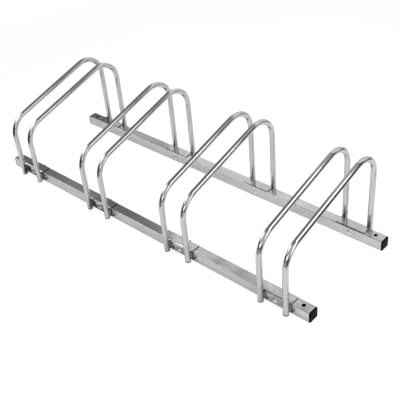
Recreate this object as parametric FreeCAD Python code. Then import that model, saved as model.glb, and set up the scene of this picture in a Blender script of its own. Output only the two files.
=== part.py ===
import FreeCAD, Part
import math
import os

# Floor bike rack.
# Two square rails lie on the floor, one in front of the other. Pairs of bent round tubes stand
# between them and hold one bicycle wheel each. Every tube's two legs are welded to folded
# brackets, which hook over the rails and are held by one domed bolt each.
#
# X runs along the rails, Y from the front rail to the rear rail, and Z up from the floor.
# The origin is on the floor, in the middle of the rack.

# ---- Driving dimensions, in millimetres ----

OVERALL_LENGTH = 1000.0      # over the end caps
RAIL_SIZE = 26.5             # outside of the square tube
RAIL_WALL = 1.2
RAIL_CORNER_RADIUS = 2.0
RAIL_SPACING = 277.5         # from centre line to centre line

WHEEL_PLACES = 4
PLACE_PITCH = 275.5          # from one wheel place to the next
LOOP_SPACING = 66.0          # between the centre lines of a wheel place's two loops

LOOP_DIAMETER = 13.5
LOOP_WALL = 1.2
FRONT_BEND_HEIGHT = 160.0    # where the front leg's line meets the ramp's line
REAR_BEND_HEIGHT = 249.5     # where the rear leg's line meets the ramp's line
FRONT_BEND_RADIUS = 55.0
REAR_BEND_RADIUS = 57.0
LEG_END_CHAMFER = 0.5

SHEET = 2.0                  # thickness of the bracket's steel
FRONT_BRACKET_LENGTH = 82.0
REAR_BRACKET_LENGTH = 77.0
PLATE_SETBACK = 2.0          # from the rail's inner face to the edge of the bracket's plate
FLANGE_CLEARANCE = 5.0       # from the floor to the lower edge of the flange
FOLD_INNER_RADIUS = 1.5
BRACKET_CORNER_RADIUS = 2.0

BEAD_LENGTH = 16.0
BEAD_START = 1.6             # from the leg's line of contact to the root of the bead
BEAD_FOOT = 7.0              # from the leg's line of contact to the toe of the bead
BEAD_FACE_ANGLE = 45.0       # between the bead's face and the flange
BEAD_END_TAPER = 1.0
BEAD_END_MARGIN = 0.2        # from the toe of an outer bead to the end of the flange

BOLT_DIAMETER = 6.0
BOLT_LENGTH = 40.0           # under the head
HEAD_DIAMETER = 15.0
HEAD_HEIGHT = 4.0
HEAD_RIM = 0.8
NECK_LENGTH = 3.0
BOLT_CLEARANCE = 0.5         # of the holes, over the bolt's diameter
BOLT_TIP_CHAMFER = 0.8

WASHER_DIAMETER = 12.0
WASHER_THICKNESS = 1.6
NUT_ACROSS_FLATS = 10.0
NUT_HEIGHT = 5.0
NUT_CHAMFER_ANGLE = 30.0     # of the turned corners, from the nut's face
THREAD_GAP = 0.05            # between the bolt's crest and the plain bore of the nut

ANCHOR_DIAMETER = 9.0        # floor anchor holes, through the top and the bottom of a rail
ANCHOR_INSET = 25.0          # from the end of the rack

CAP_FLANGE = 3.5
CAP_CORNER_RADIUS = 3.0
CAP_EDGE_ROUNDING = 1.2
PLUG_DEPTH = 14.0
PLUG_WALL = 1.6
PLUG_RIBS = 3
PLUG_RIB_HEIGHT = 0.9
PLUG_RIB_THICKNESS = 1.2
PLUG_RIB_GAP = 0.1           # between a rib's crest and the tube

# ---- Sizes worked out from them ----

HALF_RAIL = RAIL_SIZE / 2
RAIL_INSIDE = RAIL_SIZE - 2 * RAIL_WALL
RAIL_LENGTH = OVERALL_LENGTH - 2 * CAP_FLANGE
RAIL_Y = RAIL_SPACING / 2
LOOP_RADIUS = LOOP_DIAMETER / 2
FLANGE_FACE_Y = RAIL_Y + HALF_RAIL + SHEET
LEG_Y = FLANGE_FACE_Y + LOOP_RADIUS
BOLT_HEIGHT = HALF_RAIL
BOLT_HOLE = BOLT_DIAMETER + BOLT_CLEARANCE
FRONT, REAR = -1, 1
LEFT, RIGHT = -1, 1
SIDE_NAMES = {FRONT: "front", REAR: "rear"}
HAND_NAMES = {LEFT: "left", RIGHT: "right"}

AXIS_X = FreeCAD.Vector(1, 0, 0)
AXIS_Y = FreeCAD.Vector(0, 1, 0)
AXIS_Z = FreeCAD.Vector(0, 0, 1)


def point(x, y, z):
    return FreeCAD.Vector(x, y, z)


def place_centres():
    """X of the middle of each wheel place, from left to right."""
    first = -PLACE_PITCH * (WHEEL_PLACES - 1) / 2
    return [first + PLACE_PITCH * index for index in range(WHEEL_PLACES)]


# ---- Outlines ----

def rounded_square(size, radius, x, centre_y, centre_z):
    """A square with rounded corners, standing across the X axis."""
    flat = size / 2 - radius
    bulge = radius * math.sqrt(0.5)
    corners = [(1, 1), (-1, 1), (-1, -1), (1, -1)]
    edges = []
    for index, (side_y, side_z) in enumerate(corners):
        start = point(x, centre_y + side_y * size / 2, centre_z + side_z * flat)
        middle = point(x, centre_y + side_y * (flat + bulge), centre_z + side_z * (flat + bulge))
        end = point(x, centre_y + side_y * flat, centre_z + side_z * size / 2)
        if side_y != side_z:
            start, end = end, start
        edges.append(Part.Arc(start, middle, end).toShape())
        next_y, next_z = corners[(index + 1) % 4]
        if side_y != next_y:
            far = point(x, centre_y + next_y * flat, centre_z + next_z * size / 2)
        else:
            far = point(x, centre_y + next_y * size / 2, centre_z + next_z * flat)
        edges.append(Part.LineSegment(end, far).toShape())
    return Part.Wire(edges)


def ring_face(outer_radius, inner_radius, centre, axis):
    """A tube's cross-section."""
    outside = Part.Face(Part.Wire(Part.makeCircle(outer_radius, centre, axis)))
    return outside.cut(Part.Face(Part.Wire(Part.makeCircle(inner_radius, centre, axis))))


def round_bar(diameter, length, centre, axis):
    return Part.makeCylinder(diameter / 2, length, centre, axis)


# ---- Rails and their end caps ----

def rail(side):
    """A square tube with its bolt holes and floor anchor holes."""
    centre_y = side * RAIL_Y
    start_x = -RAIL_LENGTH / 2
    outside = rounded_square(RAIL_SIZE, RAIL_CORNER_RADIUS, start_x, centre_y, HALF_RAIL)
    inner_radius = RAIL_CORNER_RADIUS - RAIL_WALL
    inside = rounded_square(RAIL_INSIDE, inner_radius, start_x, centre_y, HALF_RAIL)
    tube = Part.Face(outside).extrude(AXIS_X * RAIL_LENGTH)
    tube = tube.cut(Part.Face(inside).extrude(AXIS_X * RAIL_LENGTH))
    holes = []
    for x in place_centres():
        holes.append(square_hole(x, centre_y - RAIL_SIZE, RAIL_SIZE))
        holes.append(round_bar(BOLT_HOLE, RAIL_SIZE, point(x, centre_y, BOLT_HEIGHT), AXIS_Y))
    anchor_x = OVERALL_LENGTH / 2 - ANCHOR_INSET
    for x in (-anchor_x, anchor_x):
        drill_start = point(x, centre_y, -RAIL_SIZE)
        holes.append(round_bar(ANCHOR_DIAMETER, 3 * RAIL_SIZE, drill_start, AXIS_Z))
    return tube.cut(holes)


def square_hole(x, start_y, depth):
    """The punched hole that a bolt's square neck seats in."""
    corner = point(x - BOLT_HOLE / 2, start_y, BOLT_HEIGHT - BOLT_HOLE / 2)
    return Part.makeBox(BOLT_HOLE, depth, BOLT_HOLE, corner)


def end_cap(side, hand):
    """A moulded plug: a flange as large as the tube, and a hollow shank with ribs on its four sides."""
    centre_y = side * RAIL_Y
    mouth_x = hand * RAIL_LENGTH / 2
    outward = AXIS_X * hand
    outline = rounded_square(RAIL_SIZE, CAP_CORNER_RADIUS, mouth_x, centre_y, HALF_RAIL)
    flange = Part.Face(outline).extrude(outward * CAP_FLANGE)
    outer_x = mouth_x + hand * CAP_FLANGE
    rim = [edge for edge in flange.Edges if abs(edge.CenterOfMass.x - outer_x) < CAP_EDGE_ROUNDING / 4]
    flange = flange.makeFillet(CAP_EDGE_ROUNDING, rim)

    def block(width, height, start_depth, length):
        near = mouth_x - hand * start_depth
        far = near - hand * length
        corner = point(min(near, far), centre_y - width / 2, HALF_RAIL - height / 2)
        return Part.makeBox(length, width, height, corner)

    rib_reach = RAIL_INSIDE - 2 * PLUG_RIB_GAP
    shank_size = rib_reach - 2 * PLUG_RIB_HEIGHT
    blocks = [block(shank_size, shank_size, 0, PLUG_DEPTH)]
    for index in range(PLUG_RIBS):
        rib_depth = PLUG_DEPTH / (PLUG_RIBS + 1) * (index + 1)
        blocks.append(block(rib_reach, shank_size, rib_depth, PLUG_RIB_THICKNESS))
        blocks.append(block(shank_size, rib_reach, rib_depth, PLUG_RIB_THICKNESS))
    hollow_size = shank_size - 2 * PLUG_WALL
    return flange.fuse(blocks).cut(block(hollow_size, hollow_size, 0, PLUG_DEPTH))


# ---- Wheel loops ----

def wheel_loop(x):
    """One round tube from the front leg through the ramp to the rear leg, deburred at its cut ends."""
    corners = [
        point(x, -LEG_Y, 0),
        point(x, -LEG_Y, FRONT_BEND_HEIGHT),
        point(x, LEG_Y, REAR_BEND_HEIGHT),
        point(x, LEG_Y, 0),
    ]
    tube = bent_tube(corners, [FRONT_BEND_RADIUS, REAR_BEND_RADIUS], LOOP_RADIUS, LOOP_RADIUS - LOOP_WALL)
    leg_ends = []
    for edge in tube.Edges:
        on_floor = abs(edge.CenterOfMass.z) < LEG_END_CHAMFER / 4
        if on_floor and edge.Length > math.pi * (LOOP_DIAMETER - LOOP_WALL):
            leg_ends.append(edge)
    return tube.makeChamfer(LEG_END_CHAMFER, leg_ends)


def bent_tube(corners, radii, outer_radius, inner_radius):
    """Straight runs through the corners, and a bend of the given radius at each corner between."""
    pieces = []
    run_start = corners[0]
    for index, radius in enumerate(radii):
        corner = corners[index + 1]
        heading = (corner - corners[index]).normalize()
        onward = (corners[index + 2] - corner).normalize()
        turn = heading.getAngle(onward)
        tangent = radius * math.tan(turn / 2)
        bend_start = corner - heading * tangent
        bend_axis = heading.cross(onward).normalize()
        bend_centre = bend_start + bend_axis.cross(heading) * radius
        pieces.append(straight_tube(run_start, bend_start, outer_radius, inner_radius))
        section = ring_face(outer_radius, inner_radius, bend_start, heading)
        pieces.append(section.revolve(bend_centre, bend_axis, math.degrees(turn)))
        run_start = corner + onward * tangent
    pieces.append(straight_tube(run_start, corners[-1], outer_radius, inner_radius))
    return pieces[0].fuse(pieces[1:])


def straight_tube(start, end, outer_radius, inner_radius):
    return ring_face(outer_radius, inner_radius, start, end - start).extrude(end - start)


# ---- Brackets and the welds on them ----

def bracket(x, side, length):
    """A strip folded over the rail's outer upper edge: a plate on top, a flange down the face."""
    inner_edge = -(HALF_RAIL - PLATE_SETBACK)
    face = HALF_RAIL
    top = RAIL_SIZE
    fold_outer_radius = FOLD_INNER_RADIUS + SHEET

    def at(outward, z):
        return point(x - length / 2, side * (RAIL_Y + outward), z)

    def fold(radius):
        centre_out = face - FOLD_INNER_RADIUS
        centre_z = top - FOLD_INNER_RADIUS
        middle = radius * math.sqrt(0.5)
        return Part.Arc(at(centre_out, centre_z + radius),
                        at(centre_out + middle, centre_z + middle),
                        at(centre_out + radius, centre_z)).toShape()

    fold_start = face - FOLD_INNER_RADIUS
    fold_end = top - FOLD_INNER_RADIUS
    outline = Part.Wire([
        Part.LineSegment(at(inner_edge, top), at(fold_start, top)).toShape(),
        fold(FOLD_INNER_RADIUS),
        Part.LineSegment(at(face, fold_end), at(face, FLANGE_CLEARANCE)).toShape(),
        Part.LineSegment(at(face, FLANGE_CLEARANCE), at(face + SHEET, FLANGE_CLEARANCE)).toShape(),
        Part.LineSegment(at(face + SHEET, FLANGE_CLEARANCE), at(face + SHEET, fold_end)).toShape(),
        fold(fold_outer_radius),
        Part.LineSegment(at(fold_start, top + SHEET), at(inner_edge, top + SHEET)).toShape(),
        Part.LineSegment(at(inner_edge, top + SHEET), at(inner_edge, top)).toShape(),
    ])
    strip = Part.Face(outline).extrude(AXIS_X * length)
    corners = [edge for edge in strip.Edges if is_sheet_corner(edge, side)]
    strip = strip.makeFillet(BRACKET_CORNER_RADIUS, corners)
    hole_start = point(x, side * RAIL_Y, BOLT_HEIGHT)
    if side == FRONT:
        return strip.cut(square_hole(x, -FLANGE_FACE_Y - SHEET, 2 * RAIL_SIZE))
    return strip.cut(round_bar(BOLT_HOLE, 2 * RAIL_SIZE, hole_start, AXIS_Y))


def is_sheet_corner(edge, side):
    """True on the four short edges through the sheet, at the strip's two free edges."""
    middle = edge.CenterOfMass
    short = abs(edge.Length - SHEET) < 0.01
    on_plate_edge = abs(side * middle.y - (RAIL_Y - HALF_RAIL + PLATE_SETBACK)) < 0.01
    on_flange_edge = abs(middle.z - FLANGE_CLEARANCE) < 0.01
    return short and (on_plate_edge or on_flange_edge)


def weld_bead(leg_x, side, hand, foot):
    """A fillet weld in the corner between a leg and the flange, tapered at both ends."""
    low = (RAIL_SIZE + FLANGE_CLEARANCE - BEAD_LENGTH) / 2
    high = low + BEAD_LENGTH
    slope = math.tan(math.radians(BEAD_FACE_ANGLE))

    def section(z, width):
        root = point(leg_x + hand * BEAD_START, side * FLANGE_FACE_Y, z)
        toe = root + AXIS_X * hand * (width - BEAD_START)
        crest = root + AXIS_Y * side * (width - BEAD_START) * slope
        return Part.makePolygon([root, toe, crest, root])

    sections = [
        section(low, foot - BEAD_END_TAPER),
        section(low + BEAD_END_TAPER, foot),
        section(high - BEAD_END_TAPER, foot),
        section(high, foot - BEAD_END_TAPER),
    ]
    bead = Part.makeLoft(sections, True, True)
    leg_foot = point(leg_x, side * LEG_Y, 0)
    return bead.cut(round_bar(LOOP_DIAMETER, REAR_BEND_HEIGHT, leg_foot, AXIS_Z))


def weld_beads(side, bracket_length):
    """Two beads to a leg; the outer one ends short of the flange's end."""
    room = (bracket_length - LOOP_SPACING) / 2 - BEAD_END_MARGIN
    beads = []
    for x in place_centres():
        for loop_hand in (LEFT, RIGHT):
            leg_x = x + loop_hand * LOOP_SPACING / 2
            beads.append(weld_bead(leg_x, side, loop_hand, min(BEAD_FOOT, room)))
            beads.append(weld_bead(leg_x, side, -loop_hand, BEAD_FOOT))
    return beads


# ---- Fasteners ----

def bolt(x, seat_y):
    """A domed-head bolt with a square neck; the head's underside is at seat_y."""
    crown_height = HEAD_HEIGHT - HEAD_RIM
    crown_radius = ((HEAD_DIAMETER / 2) ** 2 + crown_height ** 2) / (2 * crown_height)
    rim_y = seat_y - HEAD_RIM
    crown_y = seat_y - HEAD_HEIGHT
    half_angle = math.asin(HEAD_DIAMETER / 2 / crown_radius) / 2
    crown_middle = point(x + crown_radius * math.sin(half_angle),
                         crown_y + crown_radius * (1 - math.cos(half_angle)), BOLT_HEIGHT)
    rim_corner = point(x + HEAD_DIAMETER / 2, rim_y, BOLT_HEIGHT)
    crown = point(x, crown_y, BOLT_HEIGHT)
    thread_radius = BOLT_DIAMETER / 2 - THREAD_GAP
    tip_y = seat_y + BOLT_LENGTH
    side_points = [
        rim_corner,
        point(x + HEAD_DIAMETER / 2, seat_y, BOLT_HEIGHT),
        point(x + thread_radius, seat_y, BOLT_HEIGHT),
        point(x + thread_radius, tip_y - BOLT_TIP_CHAMFER, BOLT_HEIGHT),
        point(x + thread_radius - BOLT_TIP_CHAMFER, tip_y, BOLT_HEIGHT),
        point(x, tip_y, BOLT_HEIGHT),
        crown,
    ]
    edges = [Part.Arc(crown, crown_middle, rim_corner).toShape()]
    for start, end in zip(side_points, side_points[1:]):
        edges.append(Part.LineSegment(start, end).toShape())
    turned = Part.Face(Part.Wire(edges)).revolve(crown, AXIS_Y, 360)
    neck_corner = point(x - BOLT_DIAMETER / 2, seat_y, BOLT_HEIGHT - BOLT_DIAMETER / 2)
    return turned.fuse(Part.makeBox(BOLT_DIAMETER, NECK_LENGTH, BOLT_DIAMETER, neck_corner))


def washer(x, start_y):
    centre = point(x, start_y, BOLT_HEIGHT)
    ring = round_bar(WASHER_DIAMETER, WASHER_THICKNESS, centre, AXIS_Y)
    return ring.cut(round_bar(BOLT_HOLE, WASHER_THICKNESS, centre, AXIS_Y))


def nut(x, start_y):
    """A hexagon nut whose outer corners are turned off at a slant."""
    centre = point(x, start_y, BOLT_HEIGHT)
    corner_radius = NUT_ACROSS_FLATS / math.sqrt(3)
    corners = []
    for index in range(7):
        angle = math.radians(60 * index)
        corners.append(point(x + corner_radius * math.cos(angle), start_y,
                             BOLT_HEIGHT + corner_radius * math.sin(angle)))
    hexagon = Part.Face(Part.makePolygon(corners)).extrude(AXIS_Y * NUT_HEIGHT)
    half_flats = NUT_ACROSS_FLATS / 2
    base_radius = half_flats + NUT_HEIGHT / math.tan(math.radians(NUT_CHAMFER_ANGLE))
    cone = Part.makeCone(base_radius, half_flats, NUT_HEIGHT, centre, AXIS_Y)
    turned = hexagon.common(cone)
    return turned.cut(round_bar(BOLT_DIAMETER, NUT_HEIGHT, centre, AXIS_Y))


# ---- The whole rack ----

def rack_parts():
    """Every piece of the rack, by the name of its file."""
    parts = {}
    lengths = {FRONT: FRONT_BRACKET_LENGTH, REAR: REAR_BRACKET_LENGTH}
    for side, side_name in SIDE_NAMES.items():
        parts[side_name + "_rail"] = rail(side)
        for hand, hand_name in HAND_NAMES.items():
            parts["end_cap_" + side_name + "_" + hand_name] = end_cap(side, hand)
        for number, x in enumerate(place_centres(), 1):
            parts[side_name + "_bracket_" + str(number)] = bracket(x, side, lengths[side])

    for number, x in enumerate(place_centres(), 1):
        for hand, hand_name in HAND_NAMES.items():
            name = "wheel_loop_" + str(number) + "_" + hand_name
            parts[name] = wheel_loop(x + hand * LOOP_SPACING / 2)

    seats = {FRONT: -FLANGE_FACE_Y, REAR: RAIL_Y - HALF_RAIL}
    nut_faces = {FRONT: -RAIL_Y + HALF_RAIL, REAR: FLANGE_FACE_Y}
    for side, side_name in SIDE_NAMES.items():
        nut_start = nut_faces[side] + WASHER_THICKNESS
        centres = place_centres()
        parts[side_name + "_bolts"] = Part.makeCompound([bolt(x, seats[side]) for x in centres])
        parts[side_name + "_washers"] = Part.makeCompound([washer(x, nut_faces[side]) for x in centres])
        parts[side_name + "_nuts"] = Part.makeCompound([nut(x, nut_start) for x in centres])
        beads = weld_beads(side, lengths[side])
        parts[side_name + "_weld_beads"] = Part.makeCompound(beads)
    return parts


os.makedirs("parts", exist_ok=True)
for node_name, shape in rack_parts().items():
    shape.exportStep("parts/" + node_name + ".step")
    print(node_name, "solids", len(shape.Solids), "valid", shape.isValid(), "volume", round(shape.Volume))
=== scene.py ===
import math

import bmesh
import bpy
from mathutils import Matrix, Vector


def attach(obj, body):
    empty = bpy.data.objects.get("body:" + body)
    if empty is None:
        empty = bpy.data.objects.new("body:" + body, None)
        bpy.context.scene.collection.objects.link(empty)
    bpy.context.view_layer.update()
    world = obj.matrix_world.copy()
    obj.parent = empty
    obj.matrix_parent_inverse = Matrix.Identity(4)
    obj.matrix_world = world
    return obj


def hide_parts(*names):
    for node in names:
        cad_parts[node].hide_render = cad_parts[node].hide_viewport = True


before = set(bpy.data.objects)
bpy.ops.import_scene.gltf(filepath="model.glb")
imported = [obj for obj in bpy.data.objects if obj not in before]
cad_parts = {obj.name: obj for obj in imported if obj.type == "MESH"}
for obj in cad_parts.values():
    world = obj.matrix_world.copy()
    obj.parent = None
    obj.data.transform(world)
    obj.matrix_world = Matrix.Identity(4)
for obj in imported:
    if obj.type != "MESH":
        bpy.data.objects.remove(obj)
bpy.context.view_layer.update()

MM = 0.001
CLOSE = 0.01 * MM            # a point this near to a place is at it
SEAM = 0.001 * MM            # points nearer together than this become one
MOSTLY = 0.9                 # a direction with this much of an axis in it points along it
HARDLY = 0.1                 # and with less than this, across it
ROUND_SIDES = 48
HOLE_SIDES = 32              # of holes, and of the bolts' cores
PICTURE_SIDE = 400           # of the photograph, in pixels

# ---- Sizes of the rack, in metres: its source's, and finer ones for edges, threads and beads ----

RAIL_LENGTH = 993 * MM
RAIL_SIZE = 26.5 * MM
RAIL_WALL = 1.2 * MM
RAIL_CORNER = 2.0 * MM
RAIL_Y = 138.75 * MM
HALF_RAIL = RAIL_SIZE / 2
PLACE_PITCH = 275.5 * MM
PLACES = [(index - 1.5) * PLACE_PITCH for index in range(4)]

LOOP_OFFSET = 33.0 * MM
LOOP_RADIUS = 6.75 * MM
LOOP_WALL = 1.2 * MM
LEG_Y = 160.75 * MM
FRONT_CORNER_Z = 160.0 * MM
REAR_CORNER_Z = 249.5 * MM
FRONT_BEND = 55.0 * MM
REAR_BEND = 57.0 * MM
TUBE_SIDES = 48
BEND_STEPS = 28
LEG_END_ROUNDING = 0.4 * MM

SHEET = 2.0 * MM
FLANGE_FACE = RAIL_Y + HALF_RAIL + SHEET
BRACKET_LENGTHS = {"front": 82.0 * MM, "rear": 77.0 * MM}
PLATE_SETBACK = 2.0 * MM
FLANGE_CLEARANCE = 5.0 * MM
FOLD_RADIUS = 3.5 * MM
FOLD_STEPS = 8
BRACKET_CORNER = 2.0 * MM
SHEET_EDGE = 0.35 * MM
CUT_EDGE = 0.25 * MM         # rounding of the rails' holes, the washers and the bolts' heads

BOLT_RADIUS = 3.0 * MM
BOLT_HOLE = 6.5 * MM
BOLT_LENGTH = 40.0 * MM
BOLT_HEIGHT = HALF_RAIL
HEAD_RADIUS = 7.5 * MM
HEAD_HEIGHT = 4.0 * MM
HEAD_RIM = 0.8 * MM
DOME_RINGS = 10
NECK_LENGTH = 3.0 * MM
NECK_EDGE = 0.3 * MM
BOLT_TIP = 0.5 * MM
THREAD_PITCH = 1.0 * MM
THREAD_TURNS = 16
THREAD_STEPS = 20            # to a turn
THREAD_DEPTH = 0.55 * MM
THREAD_GAP = 0.05 * MM
THREAD_START = 0.6 * MM      # from the tip to the thread
THREAD_ROOT = 0.4            # of the thread's depth, sunk in the core
THREAD_FOOT = 0.8            # width of the thread at its root, of the pitch
THREAD_CREST = 0.25          # width of its crest, of its foot
WASHER_RADIUS = 6.0 * MM
WASHER_THICKNESS = 1.6 * MM
NUT_FLATS = 10.0 * MM
NUT_HEIGHT = 5.0 * MM
NUT_SLANT = math.radians(30)
TURNING_SIDES = 72           # of the cone that turns off a nut's corners
NUT_EDGE = 0.2 * MM

BEAD_LENGTH = 16.0 * MM
BEAD_FOOT = 7.0 * MM
BEAD_MARGIN = 0.2 * MM
BEAD_SIDES = 14
BEAD_RIPPLES = 12
BEAD_RINGS = 3               # to a ripple
BEAD_OVERLAP = 0.7 * MM      # how far a bead runs into the leg and into the flange
BEAD_HALF_DEPTH = 1.0 * MM
BEAD_SUNK = 0.55 * MM        # from a bead's slanted face back to its middle
BEAD_END = 0.55              # size of a bead's ends, of its middle's
BEAD_SWELL = 12              # how quickly a bead grows from its ends
BEAD_WAVE = 0.09
BEAD_UNEVENNESS = 0.03
BEAD_DRIFT = 1.7             # radians of that unevenness to a ring

ANCHOR_RADIUS = 4.5 * MM
ANCHOR_X = 475.0 * MM

CAP_FLANGE = 3.5 * MM
CAP_CORNER = 3.0 * MM
CAP_EDGE = 1.2 * MM
PLUG_DEPTH = 14.0 * MM
PLUG_WALL = 1.6 * MM
PLUG_RIBS = 3
PLUG_RIB_HEIGHT = 0.9 * MM
PLUG_RIB_THICKNESS = 1.2 * MM
PLUG_GAP = 0.1 * MM

SIDES = {"front": -1, "rear": 1}
HANDS = {"left": -1, "right": 1}


# ---- Camera ----

def make_camera():
    """The photograph's viewpoint: from the right front, above, with a slight roll."""
    azimuth, elevation, roll = (math.radians(angle) for angle in (45.798, 36.017, -6.073))
    distance = 1.841542
    target = Vector((0.015842, 0.033997, 0.0))
    focal = 718.823 / PICTURE_SIDE
    centre = (195.235 / PICTURE_SIDE, 196.662 / PICTURE_SIDE)

    back = Vector((math.sin(azimuth) * math.cos(elevation),
                   -math.cos(azimuth) * math.cos(elevation),
                   math.sin(elevation)))
    level = (-back).cross(Vector((0, 0, 1))).normalized()
    upright = level.cross(-back)
    right = level * math.cos(roll) + upright * math.sin(roll)
    up = upright * math.cos(roll) - level * math.sin(roll)
    placement = Matrix((right, up, back)).transposed().to_4x4()
    placement.translation = target + back * distance

    lens = bpy.data.cameras.new("camera")
    lens.sensor_width = 36
    lens.lens = focal * lens.sensor_width
    lens.shift_x = 0.5 - centre[0]
    lens.shift_y = centre[1] - 0.5
    lens.clip_start = 0.05
    camera = bpy.data.objects.new("camera", lens)
    camera.matrix_world = placement
    bpy.context.scene.collection.objects.link(camera)
    bpy.context.scene.camera = camera


# ---- Modelling, as by hand ----

def deselect():
    bpy.ops.object.select_all(action="DESELECT")


def begin(name):
    """Names the primitive that was just added and puts its place into its mesh."""
    piece = bpy.context.object
    piece.name = name
    piece.data.name = name
    bpy.ops.object.transform_apply(location=True, rotation=True, scale=True)
    return piece


def open_edit():
    bpy.ops.object.mode_set(mode="EDIT")


def close_edit():
    bpy.ops.object.mode_set(mode="OBJECT")


def pick(piece, kind, test):
    """In edit mode, selects the faces, edges or points whose middle and direction pass the test."""
    bpy.ops.mesh.select_mode(type=kind)
    bpy.ops.mesh.select_all(action="DESELECT")
    form = bmesh.from_edit_mesh(piece.data)
    if kind == "FACE":
        for face in form.faces:
            face.select_set(bool(test(face.calc_center_median(), face.normal)))
    elif kind == "EDGE":
        for edge in form.edges:
            start, end = (corner.co for corner in edge.verts)
            edge.select_set(bool(test((start + end) / 2, (end - start).normalized())))
    else:
        for corner in form.verts:
            corner.select_set(bool(test(corner.co, corner.normal)))
    form.select_flush_mode()
    bmesh.update_edit_mesh(piece.data)


def push(x=0.0, y=0.0, z=0.0):
    """Extrudes what is selected."""
    bpy.ops.mesh.extrude_region_move(TRANSFORM_OT_translate={"value": (x, y, z)})


def widen(value, centre):
    """Scales what is selected about a centre."""
    bpy.ops.transform.resize(value=value, center_override=centre)


def tidy_shell():
    """Joins the seams and turns every face outwards."""
    bpy.ops.mesh.select_all(action="SELECT")
    bpy.ops.mesh.remove_doubles(threshold=SEAM)
    bpy.ops.mesh.normals_make_consistent(inside=False)


def apply_modifier(piece, kind, **settings):
    """Adds a modifier with its settings, and applies it."""
    bpy.context.view_layer.objects.active = piece
    bpy.ops.object.modifier_add(type=kind)
    modifier = piece.modifiers[-1]
    for key, value in settings.items():
        setattr(modifier, key, value)
    bpy.ops.object.modifier_apply(modifier=modifier.name)


def cut(piece, tool, operation="DIFFERENCE"):
    """Takes the tool's form out of the piece, and removes the tool."""
    apply_modifier(piece, "BOOLEAN", object=tool, operation=operation, solver="EXACT")
    bpy.data.objects.remove(tool)
    deselect()
    piece.select_set(True)
    bpy.context.view_layer.objects.active = piece


def join(name, pieces):
    """Makes one object of several."""
    deselect()
    for piece in pieces:
        piece.select_set(True)
    bpy.context.view_layer.objects.active = pieces[0]
    if len(pieces) > 1:
        bpy.ops.object.join()
    whole = bpy.context.object
    whole.name = name
    whole.data.name = name
    return whole


def copy_of(piece, name, x=0.0, y=0.0, z=0.0):
    """A copy with its own mesh, moved, with its place in its mesh."""
    deselect()
    piece.select_set(True)
    bpy.context.view_layer.objects.active = piece
    bpy.ops.object.duplicate(linked=False)
    bpy.ops.transform.translate(value=(x, y, z))
    return begin(name)


def ease_edges(piece, width, segments=2, angle=40):
    """Rounds the edges that are sharper than the angle."""
    apply_modifier(piece, "BEVEL", width=width, segments=segments, limit_method="ANGLE",
                   angle_limit=math.radians(angle), use_clamp_overlap=True)


def smooth(piece, angle=32, flat_faces=True):
    """Smooth shading, but for edges sharper than the angle; large faces can be kept flat in it."""
    deselect()
    piece.select_set(True)
    bpy.context.view_layer.objects.active = piece
    bpy.ops.object.shade_smooth_by_angle(angle=math.radians(angle))
    if flat_faces:
        apply_modifier(piece, "WEIGHTED_NORMAL", keep_sharp=True, weight=80)


# ---- Wheel loops ----

RAMP_SLOPE = math.atan2(REAR_CORNER_Z - FRONT_CORNER_Z, 2 * LEG_Y)
FRONT_TURN = math.pi / 2 - RAMP_SLOPE
REAR_TURN = math.pi / 2 + RAMP_SLOPE
FRONT_TANGENT = FRONT_BEND * math.tan(FRONT_TURN / 2)
REAR_TANGENT = REAR_BEND * math.tan(REAR_TURN / 2)
FRONT_RISE = FRONT_CORNER_Z - FRONT_TANGENT
REAR_DROP = REAR_CORNER_Z - REAR_TANGENT
RAMP_RUN = math.hypot(2 * LEG_Y, REAR_CORNER_Z - FRONT_CORNER_Z) - FRONT_TANGENT - REAR_TANGENT
FRONT_BEND_CENTRE = Vector((0, FRONT_BEND - LEG_Y, FRONT_RISE))
REAR_BEND_CENTRE = Vector((0, LEG_Y - REAR_BEND, REAR_DROP))
LOOP_LENGTH = FRONT_RISE + FRONT_TURN * FRONT_BEND + RAMP_RUN + REAR_TURN * REAR_BEND + REAR_DROP


def wheel_loop(name, x):
    """One tube: a ring drawn up the front leg, round the bends and down the rear leg."""
    deselect()
    bpy.ops.mesh.primitive_circle_add(vertices=TUBE_SIDES, radius=LOOP_RADIUS, fill_type="NOTHING",
                                      location=(x, -LEG_Y, 0))
    tube = begin(name)
    open_edit()
    push(z=FRONT_RISE)
    bpy.ops.mesh.spin(steps=BEND_STEPS, angle=FRONT_TURN, center=FRONT_BEND_CENTRE, axis=(1, 0, 0))
    push(y=RAMP_RUN * math.cos(RAMP_SLOPE), z=RAMP_RUN * math.sin(RAMP_SLOPE))
    bpy.ops.mesh.spin(steps=BEND_STEPS, angle=REAR_TURN, center=REAR_BEND_CENTRE, axis=(1, 0, 0))
    push(z=-REAR_DROP)
    tidy_shell()
    close_edit()
    apply_modifier(tube, "SOLIDIFY", thickness=LOOP_WALL, offset=-1, use_rim=True)
    ease_edges(tube, LEG_END_ROUNDING, segments=3, angle=60)
    smooth(tube, angle=40, flat_faces=False)
    note_straight_tube(tube, x)
    return tube


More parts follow.
